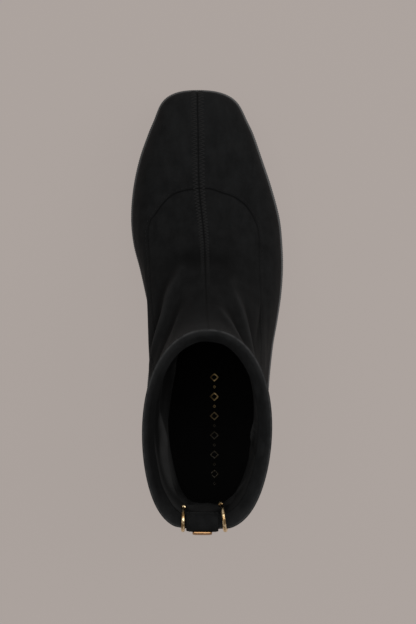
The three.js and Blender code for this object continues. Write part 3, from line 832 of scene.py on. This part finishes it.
# The profile carried round the collar; the turned-in part is wider at the front and the outer side
def makeHem():
    turn = evenAngles(hem["columns"])
    knots = np.arange(len(hemProfile), dtype=float)
    fine = np.linspace(0, len(hemProfile) - 1, 76)
    depth = curveThrough(knots, hemProfile[:, 0], fine)
    up = curveThrough(knots, hemProfile[:, 1], fine)
    turns, depths = np.meshgrid(turn, depth)
    ups = np.broadcast_to(up[:, None], turns.shape)
    wider = 1 + 0.14 * (1 + np.cos(turns)) / 2 + 0.10 * np.sin(turns)
    past = np.maximum(depths - 3.1, 0)
    wrinkle = 0.13 * np.sin(9 * turns + 2 * np.sin(3 * turns)) * clip01(past)
    depths = depths + past * (wider - 1) * 2.2 + wrinkle
    rise = riseForHeight(turns, np.minimum(collarHeight + ups, collarHeight))
    points = lastPoint(turns, rise)
    depths = depths - edgeRoll(turns, points) * clip01(1 - depths / 3.2)
    points = points - lastSlopes(turns, rise)[2] * depths[..., None]
    points[..., 2] = collarHeight + ups
    # Painted light on the hem: a highlight along the fold's crest, and shade on the inner slope, on the inner
    # side and under the roll
    fold = bell(depth - 0.45, 0.4) * (up > 0.3)
    slope = bell(depth - 1.9, 0.8) * (up > -4)
    under = clip01((-6.6 - up) / 1.2) * (depth > 3)
    innerSide = bell(degreesOf(turns) + 100, 52, 4) * clip01((depth - 1.8) / 1.4)[:, None]
    shade = clip01(slope[:, None] * (0.15 - 0.3 * np.sin(turns)) + innerSide + under[:, None])
    fields = dict(fold=fold[:, None] * np.ones_like(turns), slope=shade)
    return gridMesh("collar_hem", points, litHemSuede, ring=True, fields=fields)


# Lining's folds: places are (turn in degrees, height over the floor)
liningFolds = [
    dict(name="inner side, long upright fold", width=2.6, height=1.8,
         places=[(-56, 172), (-74, 168), (-92, 164), (-108, 158)]),
    dict(name="inner front streak", width=3.0, height=1.5,
         places=[(-34, 162), (-52, 148), (-72, 140), (-92, 138)]),
    dict(name="dent in the inner back panel", width=6.0, height=-0.3,
         places=[(-118, 168), (-134, 160), (-150, 158)]),
    dict(name="outer side fold", width=2.6, height=2.0,
         places=[(70, 172), (88, 166), (104, 156), (118, 140)]),
    dict(name="outer side hollow", width=3.2, height=-1.4,
         places=[(84, 172), (104, 166), (124, 150)]),
    dict(name="outer back fold", width=4.0, height=1.8,
         places=[(112, 172), (130, 166), (146, 154), (156, 140)]),
]


def liningLift(points):
    lift = np.zeros(points.shape[:-1])
    for fold in liningFolds:
        turn, height, share = alongPlaces(fold["places"], 30)
        spots = lastPoint(turn, riseForHeight(turn, height))
        lift += fold["height"] * bellsAt(points, spots, np.sin(pi * share) ** 0.6, fold["width"])
    return lift


# Shade of the lining, from 0 to 1: in the inner front, deep down, at the back and in a line under the hem's
# edge. The tops of its folds are lighter.
def liningShade(turns, drops, lift, standsOff):
    wrapped = degreesOf(turns)
    innerFront = bell(wrapped + 60, 40, 6) * 0.68 * clip01((drops - 8) / 6)
    deep = clip01((drops - 34) / 45)
    lit = bell(wrapped + 136, 34, 4)   # the inner back panel takes the light
    back = bell(180 - np.abs(wrapped), 20, 4) * clip01((drops - 10) / 10) * 0.4
    hemEdge = 5.6 + 1.1 * (1 + np.cos(turns)) / 2 + 0.5 * np.sin(turns)
    underHem = bell(standsOff - hemEdge, 0.8) * 0.8
    folds = np.clip(-lift, 0, 2) * 0.3 - np.clip(lift, 0, 2) * 0.35
    return clip01(innerFront + deep + underHem + folds + 0.22 * (1 - lit) + back)


def makeLining():
    turn = evenAngles(liner["columns"])
    start = riseForHeight(turn, collarHeight - liner["top"] + 0 * turn)
    down = np.linspace(0, 1, liner["rows"])[:, None]
    rise = start[None] * (1 - down) + liner["bottomRise"] * down
    turns = np.broadcast_to(turn, rise.shape)
    points = lastPoint(turns, rise)
    outward = lastSlopes(turns, rise)[2]
    drops = collarHeight - points[..., 2]
    full, start, end = [curveThrough(linerPuff[:, 0], linerPuff[:, k], degreesOf(turns)) for k in (1, 2, 3)]
    share = clip01((drops - start) / (end - start))
    puff = 0.3 + full * share * share * (3 - 2 * share) * np.exp(-np.maximum(drops - 60, 0) / 30)
    lift = liningLift(points) * clip01((drops - liner["top"]) / 4.0)
    puff = puff + lift
    near = wall + gap + hem["thickness"] * clip01((30 - drops) / 4) + 0.15
    inner = points - outward * (near + liner["thickness"] + np.maximum(puff, 0.2))[..., None]
    outer = points - outward * near[..., None]
    cloth = np.concatenate([outer[::-1], inner])
    around = np.broadcast_to(turn * 32, cloth.shape[:2])
    down = np.concatenate([-drops[::-1], drops])
    shade = liningShade(turns, drops, lift, near + liner["thickness"] + puff)
    # The lining's back, against the wall, is painted fully shaded; its front carries the painted shade of
    # liningShade
    fields = dict(paintedShade=np.concatenate([np.ones_like(shade), shade]))
    map = np.stack([around, down], -1)
    return gridMesh("shaft_lining", cloth, lining, ring=True, map=map, fields=fields)


hemPiece = placed(makeHem(), "suede", "collar_facing")
placed(makeLining(), "lining")


# Sole pieces: rings of the sole's outline moved in by an inset, then drawn by a share to the middle line

def soleRing(turn, inset, share=0.0):
    rightX, rightY = insetOutline(turn, inset)
    leftX, leftY = insetOutline(-turn, inset)
    x = rightX * (1 - share) + (rightX + leftX) / 2 * share
    y = rightY * (1 - share) + (rightY + leftY) / 2 * share
    return x, y, (1 + np.cos(turn)) / 2


# Insole: sock cloth over a thin board, crowned a little
insole = dict(thickness=2.0, ease=0.6, crown=0.5, columns=300, rows=26)


def insoleTop(along):
    return footbedAt(along) + gap + insole["thickness"]


def makeInsole():
    turn = evenAngles(insole["columns"])
    inset = last["edgeShow"] * 1.6 + wall + 2 * gap
    ease = insole["ease"]
    rows = [(inset, share, -insole["thickness"]) for share in (1.0, 0.9, 0.4, 0.0)] + [(inset, 0.0, -ease)]
    for angle in np.linspace(0.3, pi / 2, 5):
        rows.append((inset + ease * (1 - cos(angle)), 0.0, -ease * (1 - sin(angle))))
    for share in np.linspace(0.03, 1, insole["rows"]):
        rows.append((inset + ease, share, insole["crown"] * share))
    points = []
    for inward, share, height in rows:
        x, y, along = soleRing(turn, inward, share)
        points.append(np.stack([x, y, insoleTop(along) + height], -1))
    points = np.array(points)
    return gridMesh("sock_lining", points, sock, map=points[..., :2].copy(), wrap=False)


# Plain foil marks down the seat, in place of printing: hollow diamonds, large and small in turn, painted dark
# towards the heel as painted shade
foilMarks = dict(x=3.6, first=22.0, step=5.4, count=12, large=(2.7, 2.5), small=(0.9, 0.9), line=0.62,
                 thin=0.05, lying=0.03)


def makeFoilMarks():
    count = foilMarks["count"]
    y = foilMarks["first"] + foilMarks["step"] * np.arange(count)
    sizes = np.array([foilMarks["large"] if k % 2 else foilMarks["small"] for k in range(count)])
    angle = evenAngles(8)
    corner = np.where(np.arange(8) % 2 == 0, 1.0, 0.71)
    line, thin = foilMarks["line"], foilMarks["thin"]
    crown = insole["crown"] * (1 - foilMarks["x"] / 34)   # the seat is 34 mm wide to each side
    rings = []
    for scale, height in ((1.0, 0.0), (1.0, thin), (line, thin), (line, 0.0)):
        px = foilMarks["x"] + sizes[:, :1] * corner * np.cos(angle) * scale
        py = y[:, None] + sizes[:, 1:] * corner * np.sin(angle) * scale
        pz = insoleTop(py / bootLength) + crown + foilMarks["lying"] + height
        rings.append(np.stack([px, py, pz], -1))
    points = np.stack(rings, 1)
    piece = meshFrom("foil_marks", points.reshape(-1, 3), tubeFaces(count, 4, 8, True), foil)
    # Painted shade: the marks towards the heel are painted dark and matt
    foilLit = clip01((y - 54) / 18) ** 1.5 * 0.97 + 0.03
    layer = piece.data.attributes.new("foilLit", "FLOAT", "POINT")
    layer.data.foreach_set("value", np.repeat(foilLit, 32).astype(np.float32))
    return piece


placed(makeInsole(), "lining", "insole")
placed(makeFoilMarks(), "gold_metal")


# Wedge: a drawn-in side under a ribbed lip that shows as a thin edge all round the upper
wedge = dict(columns=2400, lipHeight=3.0, lipStep=1.2, taper=4.0, ribs=480, ribDepth=0.22, sideRows=9)


def taperAt(along):
    lift = last["heelHeight"] - last["platformHeight"]
    return wedge["taper"] * (footbedAt(along) - last["platformHeight"]) / lift


# Length along the outline at each turn, so that ribs are evenly spaced
def outlineRun(turn):
    return lengthAlong(*outlineAt(np.append(turn, 2 * pi)))


def evenTurns(count):
    fine = np.linspace(0, 2 * pi, 6001)
    run = outlineRun(fine[:-1])
    return np.interp(np.arange(count) * run[-1] / count, run, fine)


def makeWedge():
    turn = evenTurns(wedge["columns"])
    along = (1 + np.cos(turn)) / 2
    bottom = undersideAt(along) + outsole["thickness"] + gap
    top = footbedAt(along)
    lipBottom = top - wedge["lipHeight"]
    rib = wedge["ribDepth"] * (0.5 - 0.5 * np.cos(evenAngles(wedge["columns"]) * wedge["ribs"]))
    flat = np.zeros_like(turn)
    step = wedge["lipStep"]
    rows = [(step + taperAt(along), share, bottom) for share in (1.0, 0.02)]
    for share in np.linspace(0, 1, wedge["sideRows"]):
        rows.append((step + taperAt(along) * (1 - share), 0.0, bottom + (lipBottom - bottom) * share))
    rows += [
        (flat + 0.25 + rib, 0.0, lipBottom + 0.05),
        (flat + 0.05 + rib, 0.0, lipBottom + 0.4),
        (flat + rib, 0.0, lipBottom + 0.9),
        (flat + rib, 0.0, top - 0.7),
        (flat + 0.1 + rib, 0.0, top - 0.25),
        (flat + 0.4 + rib * 0.7, 0.0, top - 0.02),
        (flat + 1.2, 0.0, top),
        (flat + 2.6, 0.0, top),
        (flat + 2.6, 0.5, top),
        (flat + 2.6, 1.0, top),
    ]
    points = []
    for inset, share, height in rows:
        x, y, _ = soleRing(turn, inset, share)
        points.append(np.stack([x, y, height], -1))
    paintedLight = np.zeros((len(rows), wedge["columns"]))
    paintedLight[-10:-2] = 0.5 + 0.5 * clip01(np.sin(turn))   # the lip is painted paler, and a painted highlight makes it palest on the outer side, where the side lamp falls
    return gridMesh("wedge_rubber", np.array(points), rubber, fields=dict(paintedLight=paintedLight))


# Outsole: a thin slab with a bevelled lower edge, and straight grooves across heel and forefoot
outsole = dict(columns=900, rows=14, thickness=4.0, bevel=1.2, proud=0.6, grooveWidth=2.4, grooveDepth=1.5,
               pitch=9.0, heelFrom=0.06, heelGrooves=4, forefootFrom=0.6, forefootGrooves=5)


def grooveAt(y):
    starts = [outsole["heelFrom"] * bootLength + k * outsole["pitch"] for k in range(outsole["heelGrooves"])]
    starts += [outsole["forefootFrom"] * bootLength + k * outsole["pitch"]
               for k in range(outsole["forefootGrooves"])]
    cut = np.zeros_like(y)
    for middle in starts:
        cut = np.maximum(cut, clip01((outsole["grooveWidth"] / 2 - np.abs(y - middle)) / 0.35 + 0.5))
    return cut * outsole["grooveDepth"]


def makeOutsole():
    turn = evenTurns(outsole["columns"] * 2)
    along = (1 + np.cos(turn)) / 2
    inset = wedge["lipStep"] + taperAt(along) - outsole["proud"]
    under = undersideAt(along)
    bevel = outsole["bevel"]
    top = under + outsole["thickness"]
    rows = [(inset + bevel, share, under, 1.0) for share in np.linspace(1, 0, outsole["rows"])]
    rows += [
        # inset, share, height, how much of the grooves is left
        (inset + bevel * 0.45, 0.0, under + bevel * 0.2, 0.8),
        (inset + bevel * 0.1, 0.0, under + bevel * 0.6, 0.4),
        (inset, 0.0, under + bevel * 1.3, 0.05),
        (inset, 0.0, top - 0.3, 0.0),
        (inset + 0.3, 0.0, top, 0.0),
        (inset + 3, 0.0, top, 0.0),
        (inset + 3, 1.0, top, 0.0),
    ]
    points = []
    for inward, share, height, cut in rows:
        x, y, _ = soleRing(turn, inward, share)
        points.append(np.stack([x, y, height + grooveAt(y) * cut], -1))
    return gridMesh("tread_outsole", np.array(points), rubber)


placed(makeWedge(), "rubber", "wedge")
placed(makeOutsole(), "rubber", "outsole")


# Pieces over the collar's back, placed by how far out from the back wall and how high they are

def backWallAt(x, height):
    level = np.minimum(height, collarHeight)
    low = np.full_like(x, pi - 1)
    high = np.full_like(x, pi + 1)
    for _ in range(24):
        middle = (low + high) / 2
        tooFar = lastPoint(middle, riseForHeight(middle, level))[..., 0] > x
        low = np.where(tooFar, middle, low)
        high = np.where(tooFar, high, middle)
    middle = (low + high) / 2
    return lastPoint(middle, riseForHeight(middle, level))[..., 1]


# A path of (out, up): a straight leg inside, a half circle over the top edge, a straight leg outside
def archPath(outside, radius, inside, down, lean, count):
    centre = outside - radius
    angle = np.linspace(pi, 0, 17)
    out = np.concatenate([[centre - radius + lean, centre - radius + lean / 4],
                          centre + radius * np.cos(angle), [outside, outside]])
    up = collarHeight + np.concatenate([[-inside, -inside / 2], radius * np.sin(angle), [-down / 2, -down]])
    run = lengthAlong(out, up)
    marks = np.linspace(0, run[-1], count)
    return np.stack([np.interp(marks, run, out), np.interp(marks, run, up)], -1)


def sideOf(path):
    way = unit(np.gradient(path, axis=0))
    return np.stack([-way[:, 1], way[:, 0]], -1)


# A quarter circle from 0 at an end to 1 at a distance from it
def roundedOff(fromEnd, distance):
    return np.sqrt(clip01(1 - (1 - clip01(fromEnd / distance)) ** 2))


# A strip along a path: its cross-section is a superellipse, flat in the middle and round at both edges.
# sink is the share of the thickness that the cloth is drawn in by along its stitched rows.
def stripMesh(name, path, size, material, roundEnd, power, sink=0.0):
    angle = evenAngles(40)
    across = np.sign(np.cos(angle)) * np.abs(np.cos(angle)) ** (2 / power)
    through = np.sign(np.sin(angle)) * np.abs(np.sin(angle)) ** (2 / 2.6)
    side = sideOf(path)
    run = lengthAlong(path)
    fromEnd = np.minimum(run, run[-1] - run)
    half = size["width"] / 2 - roundEnd * (1 - roundedOff(fromEnd, max(roundEnd, 0.5)))
    thick = (size["thickness"] / 2 * roundedOff(fromEnd, 0.5))[:, None]
    thick = thick * (1 - sink * bell(np.abs(across) - 2 * tab["stitchEdge"], 0.07))
    out = path[:, :1] + side[:, :1] * thick * through
    up = path[:, 1:] + side[:, 1:] * thick * through
    x = tab["middle"] + half[:, None] * across
    return gridMesh(name, np.stack([x, backWallAt(x, up) - out, up], -1), material)


tab = dict(width=16.5, thickness=1.2, middle=tabMiddle, loop=4.3, outside=21.0, inside=8.0, lean=1.2,
           stitchEdge=0.4, stitchPitch=2.2, stitchLength=1.5)


def tabPath(count):
    middleOut = gap + tab["thickness"] / 2
    return archPath(middleOut, tab["loop"], tab["inside"], tab["outside"], tab["lean"], count)


# A running row down each edge of the tab
def makeTabStitches():
    path = tabPath(400)
    side = sideOf(path)
    surface = path + side * tab["thickness"] * 0.45
    run = lengthAlong(path)
    marks = np.arange(1.5, run[-1] - 2.5, tab["stitchPitch"])
    rows = []
    for edge in (-1, 1):
        x = np.full(len(marks), tab["middle"] + edge * tab["width"] * tab["stitchEdge"])
        spots = []
        for ahead in (0, tab["stitchLength"]):
            out = np.interp(marks + ahead, run, surface[:, 0])
            up = np.interp(marks + ahead, run, surface[:, 1])
            spots.append(np.stack([x, backWallAt(x, up) - out, up], -1))
        facingOut = np.stack([np.zeros(len(marks)), -np.interp(marks, run, side[:, 0]),
                              np.interp(marks, run, side[:, 1])], -1)
        rows.append((spots[0], spots[1], facingOut))
    starts, ends, outward = [np.concatenate(parts) for parts in zip(*rows)]
    return stitchMesh("tab_stitches", starts, ends, outward, 0.4, 0.2, thread)


placed(stripMesh("finger_tab", tabPath(90), tab, tabCloth, 0.4, 9.0, 0.16), "suede", "pull_tab")
placed(makeTabStitches(), "suede")


# Fixed gold hoops at both sides of the tab, each a round wire with a bead at its inner end
hoop = dict(wire=1.9, spread=9.5, outside=10.0, inside=6.0, bead=3.0)
hoops = [
    # name, side, radius of the arch, how far the outer end leans out
    ("medial", -1, 5.3, 0.5),
    ("lateral", 1, 6.3, 3.2),
]


def makeHoop(name, side, arch, splay):
    piece = "gold_hoop_" + name
    path = archPath(gap + hoop["wire"] / 2, arch, hoop["inside"], hoop["outside"], 0, 80)
    share = np.linspace(0, 1, len(path))
    x = tab["middle"] + side * (hoop["spread"] + splay * share)
    line = np.stack([x, backWallAt(x, path[:, 1]) - path[:, 0], path[:, 1]], -1)
    way = unit(np.gradient(line, axis=0))
    flat = unit(np.cross(way, [1.0, 0, 0]))
    across = np.cross(flat, way)
    run = lengthAlong(line)
    closing = roundedOff(run[-1] - run, hoop["wire"] / 2)
    angle = evenAngles(20)[None, :, None]
    girth = (hoop["wire"] / 2 * closing * (0.72 + 0.5 * share))[:, None, None]
    wire = line[:, None] + girth * (across[:, None] * np.cos(angle) + flat[:, None] * np.sin(angle))
    placed(gridMesh(piece, wire, gold), "gold_metal", "hoop_" + name)
    around, north = np.meshgrid(evenAngles(20), np.linspace(0, pi, 17))
    ball = np.stack([np.sin(north) * np.cos(around), np.sin(north) * np.sin(around), -np.cos(north)], -1)
    bead = line[0] + hoop["bead"] / 2 * ball
    placed(gridMesh(piece + "_bead", bead, gold, flip=True), "gold_metal")


for row in hoops:
    makeHoop(*row)


# Plain gold bar up the outside of the tab, bent with the tab's arch at its upper end
bar = dict(width=10.0, length=14.0, thickness=1.2, wrap=0.65)


def barPath():
    centre = gap + tab["thickness"] / 2 - tab["loop"]
    radius = tab["loop"] + tab["thickness"] / 2 + gap + bar["thickness"] / 2
    leg = bar["length"] - radius * bar["wrap"]
    bend = np.linspace(0, bar["wrap"], 24)[1:]
    out = np.concatenate([np.full(40, centre + radius), centre + radius * np.cos(bend)])
    up = np.concatenate([np.linspace(-leg, 0, 40), radius * np.sin(bend)]) + collarHeight
    return np.stack([out, up], -1)


placed(stripMesh("back_bar_gold", barPath(), bar, shadedBarGold, 1.2, 8.0), "gold_metal", "back_bar")


# Studio: a plain pale floor, soft light from all round, a large soft lamp overhead and one from the side
studio = dict(floor=(0.407, 0.361, 0.337), matt=0.10, glow=0.92, floorSize=4.0, world=0.36)
lamps = [
    # name, place in metres, size, power
    ("key", (1.35, 0.55, 1.35), 1.1, 13.0),
    ("top", (-0.1, 0.45, 1.95), 1.5, 20.0),
]


def makeFloor():
    board = Board("floor_paper")
    cloud = board.noise(board.place(), 6, 2)
    paper = [(*[value * studio["matt"] * tone for value in studio["floor"]], 1.0) for tone in (0.98, 1.02)]
    colour = board.mixed(cloud, *paper)
    board.finish({"Base Color": colour, "Roughness": 0.95, "Specular IOR Level": 0.0,
                  "Emission Color": (*studio["floor"], 1.0), "Emission Strength": studio["glow"]})
    half = studio["floorSize"] / 2 / mm
    corner = np.array([[-half, -half, 0], [half, -half, 0], [half, half, 0], [-half, half, 0]], float)
    corner += [soleMiddle, bootLength / 2, -0.05]
    meshFrom("floor", corner, np.array([[0, 1, 2, 3]]), board.material)


def makeLamp(name, place, size, power):
    data = bpy.data.lights.new(name, "AREA")
    data.size = size
    data.energy = power
    lamp = bpy.data.objects.new(name, data)
    lamp.location = place
    lamp.rotation_euler = Vector(place).to_track_quat("Z", "Y").to_euler()
    bpy.context.collection.objects.link(lamp)


makeFloor()
for lamp in lamps:
    makeLamp(*lamp)
world = bpy.data.worlds.new("studio")
bpy.context.scene.world = world
world.use_nodes = True
world.node_tree.nodes["Background"].inputs["Color"].default_value = (1.0, 0.99, 0.98, 1.0)
world.node_tree.nodes["Background"].inputs["Strength"].default_value = studio["world"]
bpy.context.scene.view_settings.view_transform = "Standard"
print("studio set")
